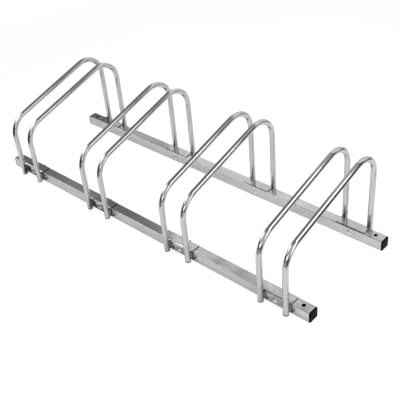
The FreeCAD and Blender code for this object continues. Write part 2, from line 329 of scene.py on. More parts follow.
def along_tube(y, z):
    """Distance along the tube's centre line and height above it, in the tube's own plane."""
    if y < FRONT_BEND_CENTRE.y and z < FRONT_BEND_CENTRE.z:
        return z, -LEG_Y - y
    front_turned = math.atan2(z - FRONT_BEND_CENTRE.z, FRONT_BEND_CENTRE.y - y)
    if y < 0 and 0 <= front_turned <= FRONT_TURN:
        reach = math.hypot(z - FRONT_BEND_CENTRE.z, y - FRONT_BEND_CENTRE.y)
        return FRONT_RISE + front_turned * FRONT_BEND, reach - FRONT_BEND
    bends = FRONT_RISE + FRONT_TURN * FRONT_BEND
    rear_turned = math.atan2(z - REAR_BEND_CENTRE.z, y - REAR_BEND_CENTRE.y)
    if y > 0 and rear_turned < REAR_TURN and z > REAR_BEND_CENTRE.z:
        reach = math.hypot(z - REAR_BEND_CENTRE.z, y - REAR_BEND_CENTRE.y)
        return bends + RAMP_RUN + (REAR_TURN - rear_turned) * REAR_BEND, reach - REAR_BEND
    if z <= REAR_BEND_CENTRE.z and y > REAR_BEND_CENTRE.y:
        return bends + RAMP_RUN + REAR_TURN * REAR_BEND + REAR_DROP - z, y - LEG_Y
    run = (y - FRONT_BEND_CENTRE.y) * math.cos(RAMP_SLOPE)
    run += (z - FRONT_BEND_CENTRE.z) * math.sin(RAMP_SLOPE)
    height = (z - FRONT_BEND_CENTRE.z) * math.cos(RAMP_SLOPE)
    height -= (y - FRONT_BEND_CENTRE.y) * math.sin(RAMP_SLOPE)
    return bends + run, height - FRONT_BEND


def note_straight_tube(tube, x):
    """Keeps, at each point, where it was on the straight tube, so that draw lines follow the bends."""
    places = []
    for corner in tube.data.vertices:
        run, height = along_tube(corner.co.y, corner.co.z)
        places.extend((corner.co.x - x, height, run))
    straight = tube.data.attributes.new("straight", "FLOAT_VECTOR", "POINT")
    straight.data.foreach_set("vector", places)


# ---- Rails ----

def rail(side_name):
    """A square tube: rounded edges, open ends, punched and drilled holes."""
    side = SIDES[side_name]
    deselect()
    bpy.ops.mesh.primitive_cube_add(size=1, location=(0, side * RAIL_Y, HALF_RAIL),
                                    scale=(RAIL_LENGTH, RAIL_SIZE, RAIL_SIZE))
    tube = begin("rail_" + side_name)
    open_edit()
    pick(tube, "FACE", lambda spot, way: abs(way.x) > MOSTLY)
    bpy.ops.mesh.delete(type="ONLY_FACE")
    pick(tube, "EDGE", lambda spot, way: abs(way.x) > MOSTLY)
    bpy.ops.mesh.bevel(offset=RAIL_CORNER, segments=6, affect="EDGES")
    tidy_shell()
    close_edit()
    apply_modifier(tube, "SOLIDIFY", thickness=RAIL_WALL, offset=-1, use_even_offset=True)
    cut(tube, rail_holes(side))
    ease_edges(tube, CUT_EDGE, segments=2, angle=50)
    smooth(tube)
    return tube


def rail_holes(side):
    """The tools that punch and drill a rail, as one object."""
    tools = []
    for index, x in enumerate(PLACES):
        deselect()
        bpy.ops.mesh.primitive_cube_add(size=1, location=(x, side * RAIL_Y - HALF_RAIL, BOLT_HEIGHT),
                                        scale=(BOLT_HOLE, HALF_RAIL, BOLT_HOLE))
        tools.append(begin("punch_" + str(index)))
        deselect()
        bpy.ops.mesh.primitive_cylinder_add(vertices=HOLE_SIDES, radius=BOLT_HOLE / 2, depth=HALF_RAIL,
                                            location=(x, side * RAIL_Y + HALF_RAIL, BOLT_HEIGHT),
                                            rotation=(math.pi / 2, 0, 0))
        tools.append(begin("drill_" + str(index)))
    for x in (-ANCHOR_X, ANCHOR_X):
        deselect()
        bpy.ops.mesh.primitive_cylinder_add(vertices=ROUND_SIDES, radius=ANCHOR_RADIUS, depth=2 * RAIL_SIZE,
                                            location=(x, side * RAIL_Y, HALF_RAIL))
        tools.append(begin("anchor_drill"))
    return join("rail_tools", tools)


# ---- End caps ----

def end_cap(side_name, hand_name):
    """A moulded plug: a rounded flange, and behind it a hollow shank with sealing ribs."""
    side, hand = SIDES[side_name], HANDS[hand_name]
    mouth = hand * RAIL_LENGTH / 2
    middle_y = side * RAIL_Y
    deselect()
    bpy.ops.mesh.primitive_cube_add(size=1, scale=(CAP_FLANGE, RAIL_SIZE, RAIL_SIZE),
                                    location=(mouth + hand * CAP_FLANGE / 2, middle_y, HALF_RAIL))
    cap = begin("cap_" + side_name + "_" + hand_name)
    open_edit()
    pick(cap, "EDGE", lambda spot, way: abs(way.x) > MOSTLY)
    bpy.ops.mesh.bevel(offset=CAP_CORNER, segments=6, affect="EDGES")
    outer = mouth + hand * CAP_FLANGE
    pick(cap, "EDGE", lambda spot, way: abs(spot.x - outer) < CLOSE)
    bpy.ops.mesh.bevel(offset=CAP_EDGE, segments=5, affect="EDGES")

    shank = RAIL_SIZE - 2 * (RAIL_WALL + PLUG_GAP + PLUG_RIB_HEIGHT)
    ribbed = shank + 2 * PLUG_RIB_HEIGHT
    pick(cap, "FACE", lambda spot, way: way.x * hand < -MOSTLY)
    bpy.ops.mesh.inset(thickness=(RAIL_SIZE - shank) / 2, use_even_offset=True)
    step = PLUG_DEPTH / (PLUG_RIBS + 1)
    reached = 0.0
    for index in range(PLUG_RIBS):
        rib_start = step * (index + 1)
        push(x=-hand * (rib_start - reached))
        reached = rib_start
        for factor, length in ((ribbed / shank, PLUG_RIB_THICKNESS), (shank / ribbed, 0.0)):
            push(x=0.0)
            widen((1, factor, factor), (mouth - hand * reached, middle_y, HALF_RAIL))
            if length:
                push(x=-hand * length)
                reached += length
    push(x=-hand * (PLUG_DEPTH - reached))
    bpy.ops.mesh.inset(thickness=PLUG_WALL, use_even_offset=True)
    push(x=hand * PLUG_DEPTH)
    tidy_shell()
    close_edit()
    smooth(cap, angle=35)
    return cap


# ---- Brackets ----

def bracket(side_name, number):
    """A strip folded over the rail: a plate on top, and a flange down the outer face."""
    side, length, x = SIDES[side_name], BRACKET_LENGTHS[side_name], PLACES[number - 1]
    inner_edge = RAIL_Y - HALF_RAIL + PLATE_SETBACK
    fold_y = FLANGE_FACE - FOLD_RADIUS
    fold_z = RAIL_SIZE + SHEET - FOLD_RADIUS
    middle = (x, side * (inner_edge + fold_y) / 2, RAIL_SIZE + SHEET)
    deselect()
    bpy.ops.mesh.primitive_plane_add(size=1, location=middle)
    strip = begin("bracket_" + side_name + "_" + str(number))
    open_edit()
    bpy.ops.mesh.select_all(action="SELECT")
    widen((length, fold_y - inner_edge, 1), middle)
    pick(strip, "EDGE", lambda spot, way: abs(side * spot.y - fold_y) < CLOSE)
    bpy.ops.mesh.spin(steps=FOLD_STEPS, angle=side * math.pi / 2,
                      center=(x, side * fold_y, fold_z), axis=(1, 0, 0))
    push(z=FLANGE_CLEARANCE - fold_z)
    pick(strip, "VERT", lambda spot, way: abs(side * spot.y - inner_edge) < CLOSE
         or abs(spot.z - FLANGE_CLEARANCE) < CLOSE)
    bpy.ops.mesh.bevel(offset=BRACKET_CORNER, segments=5, affect="VERTICES")
    tidy_shell()
    close_edit()
    turn_outwards(strip)
    apply_modifier(strip, "SOLIDIFY", thickness=SHEET, offset=-1, use_even_offset=True)
    cut(strip, flange_hole(side_name, x))
    ease_edges(strip, SHEET_EDGE, segments=3, angle=50)
    smooth(strip)
    return strip


def turn_outwards(strip):
    """An open sheet can be recalculated either way round, so its top has to face up."""
    top = max(strip.data.polygons, key=lambda face: face.center.z)
    if top.normal.z < 0:
        open_edit()
        bpy.ops.mesh.select_all(action="SELECT")
        bpy.ops.mesh.flip_normals()
        close_edit()


def flange_hole(side_name, x):
    """A punch for a square neck at the front, and a drill at the rear."""
    spot = (x, SIDES[side_name] * FLANGE_FACE, BOLT_HEIGHT)
    deselect()
    if side_name == "front":
        bpy.ops.mesh.primitive_cube_add(size=1, location=spot, scale=(BOLT_HOLE, HALF_RAIL, BOLT_HOLE))
    else:
        bpy.ops.mesh.primitive_cylinder_add(vertices=HOLE_SIDES, radius=BOLT_HOLE / 2, depth=HALF_RAIL,
                                            location=spot, rotation=(math.pi / 2, 0, 0))
    return begin("flange_tool")


# ---- Bolts, washers and nuts ----

def bolt_head(x, seat):
    """A disc raised into a dome, ring by ring."""
    deselect()
    bpy.ops.mesh.primitive_circle_add(vertices=ROUND_SIDES, radius=HEAD_RADIUS, fill_type="NGON",
                                      location=(x, seat, BOLT_HEIGHT), rotation=(math.pi / 2, 0, 0))
    head = begin("bolt_head")
    rise = HEAD_HEIGHT - HEAD_RIM
    crown = (HEAD_RADIUS ** 2 + rise ** 2) / (2 * rise)
    widest = math.asin(HEAD_RADIUS / crown)
    open_edit()
    bpy.ops.mesh.select_all(action="SELECT")
    push(y=-HEAD_RIM)
    radius, height = HEAD_RADIUS, 0.0
    for index in range(1, DOME_RINGS):
        angle = widest * (1 - index / DOME_RINGS)
        new_radius = crown * math.sin(angle)
        new_height = crown * math.cos(angle) - (crown - rise)
        push(y=height - new_height)
        widen((new_radius / radius, 1, new_radius / radius), (x, seat - HEAD_RIM - new_height, BOLT_HEIGHT))
        radius, height = new_radius, new_height
    push(y=height - rise)
    bpy.ops.mesh.merge(type="CENTER")
    tidy_shell()
    pick(head, "EDGE", lambda spot, way: abs(spot.y - seat) < CLOSE
         or (abs(spot.y - seat + HEAD_RIM) < CLOSE and abs(way.y) < HARDLY))
    bpy.ops.mesh.bevel(offset=CUT_EDGE, segments=2, affect="EDGES")
    close_edit()
    return head


def bolt_shank(x, seat):
    """The square neck, the core of the shank with its rounded tip, and the thread round it."""
    core = BOLT_RADIUS - THREAD_GAP - THREAD_DEPTH
    tip = seat + BOLT_LENGTH
    deselect()
    bpy.ops.mesh.primitive_cube_add(size=1, location=(x, seat + NECK_LENGTH / 2, BOLT_HEIGHT),
                                    scale=(2 * BOLT_RADIUS, NECK_LENGTH, 2 * BOLT_RADIUS))
    neck = begin("bolt_neck")
    open_edit()
    pick(neck, "EDGE", lambda spot, way: spot.y > seat + NECK_LENGTH / 4)
    bpy.ops.mesh.bevel(offset=NECK_EDGE, segments=2, affect="EDGES")
    close_edit()

    deselect()
    bpy.ops.mesh.primitive_cylinder_add(vertices=HOLE_SIDES, radius=core, depth=BOLT_LENGTH,
                                        location=(x, seat + BOLT_LENGTH / 2, BOLT_HEIGHT),
                                        rotation=(math.pi / 2, 0, 0))
    shank = begin("bolt_core")
    open_edit()
    pick(shank, "EDGE", lambda spot, way: abs(spot.y - tip) < CLOSE)
    bpy.ops.mesh.bevel(offset=BOLT_TIP, segments=2, affect="EDGES")
    close_edit()
    thread = bolt_thread(x, tip, core)
    return [neck, shank, thread]


def bolt_thread(x, tip, core):
    """A ridge that winds round the core, closed at both ends."""
    start = (x, tip - THREAD_START - THREAD_TURNS * THREAD_PITCH, BOLT_HEIGHT)
    deselect()
    bpy.ops.mesh.primitive_plane_add(size=1, location=start)
    thread = bpy.context.object
    open_edit()
    widen((THREAD_DEPTH * (1 + THREAD_ROOT), THREAD_PITCH * THREAD_FOOT, 1), start)
    bpy.ops.transform.translate(value=(core + THREAD_DEPTH * (1 - THREAD_ROOT) / 2, 0, 0))
    pick(thread, "EDGE", lambda spot, way: spot.x > core + THREAD_DEPTH / 2)
    widen((1, THREAD_CREST, 1), start)
    bpy.ops.mesh.select_mode(type="FACE")
    bpy.ops.mesh.select_all(action="SELECT")
    bpy.ops.mesh.delete(type="ONLY_FACE")
    close_edit()
    apply_modifier(thread, "SCREW", axis="Y", angle=2 * math.pi, screw_offset=THREAD_PITCH,
                   iterations=THREAD_TURNS, steps=THREAD_STEPS, render_steps=THREAD_STEPS)
    begin("bolt_thread")
    open_edit()
    bpy.ops.mesh.select_mode(type="EDGE")
    bpy.ops.mesh.select_all(action="DESELECT")
    bpy.ops.mesh.select_non_manifold()
    bpy.ops.mesh.edge_face_add()
    tidy_shell()
    close_edit()
    return thread


def bolts(side_name):
    """The front bolts' heads bear on the brackets, and the rear ones on the rail."""
    seats = {"front": -FLANGE_FACE, "rear": RAIL_Y - HALF_RAIL}
    seat = seats[side_name]
    first = join("bolts_" + side_name, [bolt_head(PLACES[0], seat)] + bolt_shank(PLACES[0], seat))
    return row_of(first, "bolts_" + side_name)


def row_of(first, name):
    """The same small piece at every wheel place, as one object."""
    smooth(first, angle=35)
    others = [copy_of(first, name + "_copy", x=x - PLACES[0]) for x in PLACES[1:]]
    return join(name, [first] + others)


def washers(side_name):
    """A stamped ring with eased edges."""
    start = nut_side(side_name)
    deselect()
    bpy.ops.mesh.primitive_circle_add(vertices=ROUND_SIDES, radius=WASHER_RADIUS, fill_type="NGON",
                                      location=(PLACES[0], start + WASHER_THICKNESS, BOLT_HEIGHT),
                                      rotation=(-math.pi / 2, 0, 0))
    ring = begin("washer")
    open_edit()
    bpy.ops.mesh.select_all(action="SELECT")
    bpy.ops.mesh.inset(thickness=WASHER_RADIUS - BOLT_HOLE / 2)
    bpy.ops.mesh.delete(type="ONLY_FACE")
    close_edit()
    apply_modifier(ring, "SOLIDIFY", thickness=WASHER_THICKNESS, offset=-1)
    ease_edges(ring, CUT_EDGE, segments=2, angle=50)
    return row_of(ring, "washers_" + side_name)


def nut_side(side_name):
    """Y of the face that the washers lie on."""
    return {"front": HALF_RAIL - RAIL_Y, "rear": FLANGE_FACE}[side_name]


def nuts(side_name):
    """A hexagon whose outer corners are turned off, with a bore."""
    start = nut_side(side_name) + WASHER_THICKNESS
    middle = (PLACES[0], start + NUT_HEIGHT / 2, BOLT_HEIGHT)
    facing = (-math.pi / 2, 0, 0)
    deselect()
    bpy.ops.mesh.primitive_cylinder_add(vertices=6, radius=NUT_FLATS / math.sqrt(3), depth=NUT_HEIGHT,
                                        location=middle, rotation=(-math.pi / 2, math.pi / 6, 0))
    nut = begin("nut")
    deselect()
    slant = NUT_HEIGHT / math.tan(NUT_SLANT)
    bpy.ops.mesh.primitive_cone_add(vertices=TURNING_SIDES, radius1=NUT_FLATS / 2 + slant,
                                    radius2=NUT_FLATS / 2, depth=NUT_HEIGHT,
                                    location=middle, rotation=facing)
    cut(nut, begin("turning_tool"), "INTERSECT")
    deselect()
    bpy.ops.mesh.primitive_cylinder_add(vertices=HOLE_SIDES, radius=BOLT_RADIUS, depth=2 * NUT_HEIGHT,
                                        location=middle, rotation=facing)
    cut(nut, begin("tap"))
    ease_edges(nut, NUT_EDGE, segments=2, angle=25)
    return row_of(nut, "nuts_" + side_name)


# ---- Weld beads ----

def weld_bead(name, side, foot):
    """A rippled bead: a small disc drawn upwards in waves, sunk into leg and flange."""
    # Its slanted face runs from the flange, foot away from the leg's middle, to the leg, reach away.
    slant = math.sqrt(0.5)
    past_leg = foot - LOOP_RADIUS
    reach = (past_leg + math.sqrt(2 * LOOP_RADIUS ** 2 - past_leg ** 2)) / 2
    face_length = (foot - reach) / slant
    half_face = face_length / 2 + BEAD_OVERLAP
    centre_x = (foot + reach) / 2 - BEAD_SUNK * slant
    centre_out = (foot - reach) / 2 - BEAD_SUNK * slant
    bottom = (RAIL_SIZE + FLANGE_CLEARANCE - BEAD_LENGTH) / 2
    spot = Vector((centre_x, side * (FLANGE_FACE + centre_out), bottom))
    deselect()
    bpy.ops.mesh.primitive_circle_add(vertices=BEAD_SIDES, radius=half_face, fill_type="NGON",
                                      location=spot, rotation=(0, 0, -side * math.pi / 4))
    bpy.context.object.scale.y = BEAD_HALF_DEPTH / half_face
    bead = begin(name)
    open_edit()
    bpy.ops.mesh.select_all(action="SELECT")
    widen((BEAD_END, BEAD_END, 1), spot)
    steps = BEAD_RIPPLES * BEAD_RINGS
    size = BEAD_END
    for index in range(1, steps + 1):
        share = index / steps
        ends = min(1.0, (0.5 - abs(share - 0.5)) * BEAD_SWELL + BEAD_END)
        wave = 1 + BEAD_WAVE * math.cos(2 * math.pi * index / BEAD_RINGS)
        wave += BEAD_UNEVENNESS * math.sin(index * BEAD_DRIFT)
        push(z=BEAD_LENGTH / steps)
        level = spot + Vector((0, 0, BEAD_LENGTH * share))
        widen((ends * wave / size, ends * wave / size, 1), level)
        size = ends * wave
    tidy_shell()
    close_edit()
    smooth(bead, angle=70, flat_faces=False)
    return bead


def mirrored(piece, name, x, hand):
    """A copy of a bead beside a leg, on either hand of it."""
    bead = copy_of(piece, name)
    if hand < 0:
        open_edit()
        bpy.ops.mesh.select_all(action="SELECT")
        bpy.ops.transform.resize(value=(-1, 1, 1), center_override=(0, 0, 0))
        bpy.ops.mesh.normals_make_consistent(inside=False)
        close_edit()
    bpy.ops.transform.translate(value=(x, 0, 0))
    return begin(name)


def weld_beads(side_name):
    """A bead at both sides of every leg; the outer ones are as wide as the bracket's end allows."""
    side = SIDES[side_name]
    room = BRACKET_LENGTHS[side_name] / 2 - LOOP_OFFSET - BEAD_MARGIN
    inner = weld_bead("bead_inner", side, BEAD_FOOT)
    outer = weld_bead("bead_outer", side, min(BEAD_FOOT, room))
    beads = []
    for x in PLACES:
        for hand in HANDS.values():
            leg = x + hand * LOOP_OFFSET
            beads.append(mirrored(outer, "bead", leg, hand))
            beads.append(mirrored(inner, "bead", leg, -hand))
    bpy.data.objects.remove(inner)
    bpy.data.objects.remove(outer)
    return join("welds_" + side_name, beads)


# ---- Finishes ----

class Field:
    """A number that changes over a surface; arithmetic on it adds Math nodes."""

    def __init__(self, finish, socket):
        self.finish = finish
        self.socket = socket

    def maths(self, operation, *values):
        node = self.finish.add("ShaderNodeMath", {"operation": operation}, dict(enumerate(values)))
        return Field(self.finish, node.outputs[0])

    def __add__(self, other):
        return self.maths("ADD", self, other)

    def __radd__(self, other):
        return self.maths("ADD", other, self)

    def __sub__(self, other):
        return self.maths("SUBTRACT", self, other)

    def __rsub__(self, other):
        return self.maths("SUBTRACT", other, self)

    def __mul__(self, other):
        return self.maths("MULTIPLY", self, other)

    def __rmul__(self, other):
        return self.maths("MULTIPLY", other, self)

    def distance(self, value):
        """How far the number is from a value, whichever way."""
        return (self - value).size()

    def size(self):
        """The number without its sign."""
        return self.maths("ABSOLUTE", self)

    def remainder(self, length):
        """What is left of the number once whole lengths are taken away."""
        return self.maths("MODULO", self, length)

    def higher(self, other):
        return self.maths("MAXIMUM", self, other)

    def lower(self, other):
        return self.maths("MINIMUM", self, other)

    def between(self, low, high):
        """0 below low, 1 above high, and smooth between them."""
        node = self.finish.add("ShaderNodeMapRange", {"interpolation_type": "SMOOTHSTEP"},
                               {"Value": self, "From Min": low, "From Max": high})
        return Field(self.finish, node.outputs["Result"])


class Finish:
    """A material on the standard shader, with its constant values set on the shader itself."""

    def __init__(self, name, constants):
        self.material = bpy.data.materials.new(name)
        self.material.use_nodes = True
        self.tree = self.material.node_tree
        self.shader = self.tree.nodes["Principled BSDF"]
        for key, value in constants.items():
            self.shader.inputs[key].default_value = value

    def feed(self, socket, value):
        if isinstance(value, Field):
            value = value.socket
        if isinstance(value, bpy.types.NodeSocket):
            self.tree.links.new(value, socket)
        else:
            socket.default_value = value

    def add(self, kind, settings=(), sockets=()):
        """A node with its settings made first, and then its sockets' values or links."""
        node = self.tree.nodes.new(kind)
        for key, value in dict(settings).items():
            setattr(node, key, value)
        for key, value in dict(sockets).items():
            self.feed(node.inputs[key], value)
        return node

    def place(self):
        return self.add("ShaderNodeTexCoord").outputs["Object"]

    def straight_place(self):
        """Where a point was on the straight tube, before it was bent."""
        settings = {"attribute_name": "straight", "attribute_type": "GEOMETRY"}
        return self.add("ShaderNodeAttribute", settings).outputs["Vector"]

    def axes(self, place):
        split = self.add("ShaderNodeSeparateXYZ", (), {0: place})
        return [Field(self, split.outputs[index]) for index in range(3)]

    def noise(self, place, stretch, detail=3.0, roughness=0.5):
        """Cloudy noise; stretch is how many features it has to a metre along each axis."""
        mapping = self.add("ShaderNodeMapping", (), {"Vector": place, "Scale": stretch})
        sockets = {"Vector": mapping.outputs[0], "Scale": 1.0, "Detail": detail, "Roughness": roughness}
        return Field(self, self.add("ShaderNodeTexNoise", (), sockets).outputs["Fac"])

    def colour(self, share, first, second):
        """One colour where share is 0 and the other where it is 1; a single number is a grey."""
        ends = []
        for shade in (first, second):
            if isinstance(shade, (int, float)):
                shade = (shade, shade, shade)
            ends.append((*shade, 1) if isinstance(shade, tuple) else shade)
        node = self.add("ShaderNodeMix", {"data_type": "RGBA"}, {"Factor": share, 6: ends[0], 7: ends[1]})
        return node.outputs[2]

    def set(self, socket, value):
        self.feed(self.shader.inputs[socket], value)

    def bump(self, height, strength, distance):
        """distance is what a height of 1 stands for, in metres."""
        sockets = {"Height": height, "Strength": strength, "Distance": distance}
        self.set("Normal", self.add("ShaderNodeBump", (), sockets).outputs[0])


PLATING_RELIEF = 0.02 * MM
WORN_CORNER = (HALF_RAIL - 1.4 * MM, HALF_RAIL - 0.3 * MM)
SCUFF_AND_GLINT_BAND = (HALF_RAIL - 2.5 * MM, HALF_RAIL)


def chrome_finish():
    """Bright plated tube: draw lines, faint waves, haze in places and painted dark reflections in streaks
    beside the welds.
    """
    chrome = Finish("loop_chrome", {"Metallic": 1.0})
    straight = chrome.straight_place()
    lines = chrome.noise(straight, (900, 900, 5), detail=3)
    waves = chrome.noise(straight, (45, 45, 14), detail=1)
    haze = chrome.noise(straight, (60, 60, 22), detail=4).between(0.35, 0.75)
    across, outward, run = chrome.axes(straight)
    from_end = run.lower(LOOP_LENGTH - run)
    near_floor = 1 - from_end.between(2 * MM, 35 * MM)
    towards_flange = 1 - outward.between(-0.8 * LOOP_RADIUS, -0.25 * LOOP_RADIUS)
    off_streak = across.size().distance(0.4 * LOOP_RADIUS)
    beside_weld = 1 - off_streak.between(0.1 * LOOP_RADIUS, 0.4 * LOOP_RADIUS)
    # Painted dark reflection: near-black streaks low on the legs beside the welds, which also roughen the
    # plating there.
    painted_reflection_patches = chrome.noise(straight, (300, 300, 90), detail=3).between(0.3, 0.5)
    painted_dark_reflection = towards_flange * beside_weld * painted_reflection_patches * (1 - from_end.between(36 * MM, 52 * MM))
    plated = chrome.colour(haze, (0.545, 0.55, 0.555), (0.51, 0.515, 0.525))
    chrome.set("Base Color", chrome.colour(painted_dark_reflection * 0.95, plated, 0.03))
    chrome.set("Roughness", 0.09 + haze * 0.05 + lines * 0.05 + near_floor * 0.05 + painted_dark_reflection * 0.15)
    chrome.bump(lines * 0.35 + waves * 2.0, 0.5, PLATING_RELIEF)
    return chrome.material


def zinc_finish(name, base, second, dull, along):
    """Zinc-plated steel: rolling lines, cloudy plating and rubbed spots."""
    zinc = Finish(name, {"Metallic": 1.0})
    place = zinc.place()
    lines = zinc.noise(place, along, detail=4)
    clouds = zinc.noise(place, (24, 60, 60), detail=3).between(0.3, 0.75)
    spots = zinc.noise(place, (260, 260, 260), detail=2).between(0.62, 0.74)
    zinc.set("Base Color", zinc.colour(clouds * 0.7 + spots * 0.3, base, second))
    zinc.set("Roughness", dull + clouds * 0.08 + lines * 0.08 + spots * 0.07)
    raise_plating(zinc, lines, clouds, spots)
    return zinc.material


def raise_plating(zinc, lines, clouds, spots):
    """The fine relief of rolled and plated steel."""
    zinc.bump(lines * 0.8 + clouds * 1.5 + spots * 0.3, 0.5, PLATING_RELIEF)


def rail_finish():
    """The rails' zinc, with its corners and ends rubbed brighter."""
    zinc = Finish("rail_steel", {"Metallic": 1.0})
    place = zinc.place()
    x, y, z = zinc.axes(place)
    lines = zinc.noise(place, (5, 800, 800), detail=4)
    clouds = zinc.noise(place, (16, 70, 70), detail=3).between(0.3, 0.75)
    spots = zinc.noise(place, (240, 240, 240), detail=2).between(0.64, 0.76)
    across = y.size().distance(RAIL_Y).between(*WORN_CORNER)
    upright = z.distance(HALF_RAIL).between(*WORN_CORNER)
    breakup = zinc.noise(place, (90, 400, 400), detail=3).between(0.4, 0.62)
    worn = across * upright * breakup
    ends = x.size().between(RAIL_LENGTH / 2 - 5 * MM, RAIL_LENGTH / 2) * breakup
    rubbed = worn.higher(ends)
    streaks = zinc.noise(place, (4, 160, 160), detail=3).between(0.35, 0.65)
    mottle = zinc.noise(place, (130, 230, 230), detail=2).between(0.38, 0.62)
    shade = clouds * 0.3 + spots * 0.15 + streaks * 0.25 + mottle * 0.3
    plated = zinc.colour(shade, (0.62, 0.625, 0.63), (0.45, 0.455, 0.465))
    rubbed_steel = (0.66, 0.66, 0.65)
    zinc.set("Base Color", zinc.colour(rubbed, plated, rubbed_steel))
    rolled = clouds * 0.07 + lines * 0.06 + streaks * 0.05 + spots * 0.06
    zinc.set("Roughness", 0.09 + rolled + rubbed * 0.08)
    raise_plating(zinc, lines, clouds, spots)
    return zinc.material


def bracket_finish(side_name):
    """The brackets' zinc, with duller sheared edges painted near-black as shade and, but for the last
    place, a painted highlight along the fold.
    """
    zinc = Finish("bracket_steel_" + side_name, {"Metallic": 1.0})
    place = zinc.place()
    x, y, z = zinc.axes(place)
    lines = zinc.noise(place, (7, 700, 700), detail=4)
    clouds = zinc.noise(place, (30, 60, 60), detail=3).between(0.3, 0.75)
    spots = zinc.noise(place, (260, 260, 260), detail=2).between(0.62, 0.74)
    half = BRACKET_LENGTHS[side_name] / 2
    end_face = nearest_place(x).between(half - 0.5 * SHEET_EDGE, half - 0.1 * SHEET_EDGE)
    plate_edge = RAIL_Y - HALF_RAIL + PLATE_SETBACK
    inner_face = 1 - y.size().between(plate_edge + 0.1 * SHEET_EDGE, plate_edge + 0.5 * SHEET_EDGE)
    # Painted shade: the sheared end and inner edges are coloured near-black; only their extra roughness is
    # the cut metal's own.
    sheared_and_painted_shade = end_face.higher(inner_face)
    mottle = zinc.noise(place, (200, 230, 230), detail=2).between(0.38, 0.62)
    shade = clouds * 0.4 + spots * 0.2 + mottle * 0.4
    plated = zinc.colour(shade, (0.57, 0.575, 0.58), (0.42, 0.425, 0.43))
    past_fold = y.size().between(FLANGE_FACE - FOLD_RADIUS, FLANGE_FACE - 0.6 * FOLD_RADIUS)
    fold_top = RAIL_SIZE + SHEET
    painted_fold_highlight = past_fold * z.between(fold_top - FOLD_RADIUS, fold_top - 0.6 * FOLD_RADIUS)
    last_place = x.between(PLACES[2], PLACES[3] - LOOP_OFFSET)
    # Painted highlight: the outside of the fold is coloured near-white, except at the last place.
    plated = zinc.colour(painted_fold_highlight * (1 - last_place), plated, 0.95)
    zinc.set("Base Color", zinc.colour(sheared_and_painted_shade, plated, 0.02))
    zinc.set("Roughness", 0.06 + clouds * 0.05 + lines * 0.05 + spots * 0.05 + sheared_and_painted_shade * 0.3)
    raise_plating(zinc, lines, clouds, spots)
    return zinc.material


def weld_finish():
    """Weld metal: uneven, much darker and duller than the plating, with a fine grain; its dark colour is
    partly its own and partly painted shade of the crevice between leg and flange.
    """
    weld = Finish("weld_steel", {"Metallic": 1.0})
    place = weld.place()
    grain = weld.noise(place, (900, 900, 900), detail=4)
    tint_and_painted_shade = weld.noise(place, (220, 220, 220), detail=3).between(0.35, 0.7)
    # Partly painted shade: the bead's dark colour also stands in for the shade of the crevice between leg
    # and flange.
    weld.set("Base Color", weld.colour(tint_and_painted_shade, 0.30, 0.05))
    weld.set("Roughness", 0.16 + grain * 0.12 + tint_and_painted_shade * 0.15)
    weld.bump(grain, 0.6, 0.06 * MM)
    return weld.material


def cap_finish():
    """Black moulded plastic with a fine eroded grain, and scuffed rims whose lighter specks are partly
    painted glints.
    """
    plastic = Finish("cap_plastic", {"IOR": 1.45, "Specular IOR Level": 0.02})
    place = plastic.place()
    y, z = plastic.axes(place)[1:]
    grain = plastic.noise(place, (1500, 1500, 1500), detail=3)
    cloudy = plastic.noise(place, (90, 90, 90), detail=3).between(0.35, 0.7)
    scuff_and_glint_specks = plastic.noise(place, (300, 1400, 300), detail=3).between(0.6, 0.72)
    across = y.size().distance(RAIL_Y).between(*SCUFF_AND_GLINT_BAND)
    upright = z.distance(HALF_RAIL).between(*SCUFF_AND_GLINT_BAND)
    # Partly painted glints: the lighter specks on the rim are scuffs that also stand in for highlights.
    rim_scuffs_and_glints = across.higher(upright) * scuff_and_glint_specks
    scuff_and_glint_grey = (0.02, 0.02, 0.021)
    plastic.set("Base Color", plastic.colour(rim_scuffs_and_glints + cloudy * 0.25, 0.0015, scuff_and_glint_grey))
    plastic.set("Roughness", 0.32 + cloudy * 0.1 + rim_scuffs_and_glints * 0.15)
    plastic.bump(grain, 0.5, 0.05 * MM)
    return plastic.material


# ---- Floor and light ----

FLOOR_SIDE = 24.0
WALL_RADIUS = 11.0
WALL_HEIGHT = 8.0
WALL_SIDES = 96
SHEET_DEPTH = 0.2 * MM
MATT_GLOW = {"Roughness": 0.9, "Specular IOR Level": 0.0, "Emission Strength": 1.0}


def floor():
    """The camera sees a pale floor and a far wall; the metal mirrors a sheet just under that floor."""
    seen, wall, sheet = seen_floor(), far_wall(), mirrored_floor()
    for surface in (seen, wall):
        for seen_by in ("diffuse", "glossy", "transmission", "volume_scatter", "shadow"):
            setattr(surface, "visible_" + seen_by, False)
    sheet.visible_camera = False


def seen_floor():
    """Nearly white, and whiter far off."""
    seen = pale_plane("floor", 0.0)
    pale = Finish("floor_pale", MATT_GLOW)
    place = pale.place()
    x, y = pale.axes(place)[:2]
    patches = pale.noise(place, (0.8, 0.8, 0.8), detail=2)
    pale.set("Base Color", pale.colour(patches, 0.15, 0.17))
    far_off = (x * x + y * y).between(0.4, 4.0)
    pale.set("Emission Color", pale.colour(far_off, 0.89, 0.98))
    seen.data.materials.append(pale.material)
    return seen


def far_wall():
    """An open cylinder that the camera sees behind the floor."""
    bpy.ops.mesh.primitive_cylinder_add(vertices=WALL_SIDES, radius=WALL_RADIUS, depth=WALL_HEIGHT,
                                        end_fill_type="NOTHING", location=(0, 0, WALL_HEIGHT / 2))
    wall = begin("far_wall")
    glow = {"Base Color": (0, 0, 0, 1), "Emission Color": (1, 1, 1, 1), "Emission Strength": 0.98}
    wall.data.materials.append(Finish("wall_pale", glow).material)
    return wall


